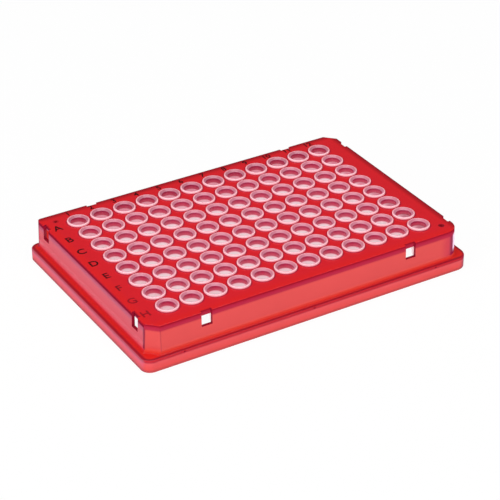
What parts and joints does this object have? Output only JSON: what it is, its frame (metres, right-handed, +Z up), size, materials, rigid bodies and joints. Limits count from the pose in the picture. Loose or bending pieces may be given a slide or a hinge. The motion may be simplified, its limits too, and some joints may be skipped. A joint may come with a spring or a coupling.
{
  "type": "well plate",
  "caption": "Skirted PCR well plate: a translucent red frame with separate clear conical wells moulded through its deck.",
  "frame": {"origin": "centre of the skirt's footprint, on the surface the plate stands on", "axes": "+X from column 1 to column 12, +Y from row H to row A, +Z up out of the wells"},
  "size_m": [0.1278, 0.0854, 0.016],
  "materials": {
    "frame": "translucent red polycarbonate, moulded, glossy",
    "wells": "thin clear to slightly hazy polypropylene, glossy"
  },
  "bodies": {
    "root": {"frame": "frame", "wells_column_1": "wells", "wells_column_2": "wells", "wells_column_3": "wells", "wells_column_4": "wells", "wells_column_5": "wells", "wells_column_6": "wells", "wells_column_7": "wells", "wells_column_8": "wells", "wells_column_9": "wells", "wells_column_10": "wells", "wells_column_11": "wells", "wells_column_12": "wells"}
  },
  "joints": []
}
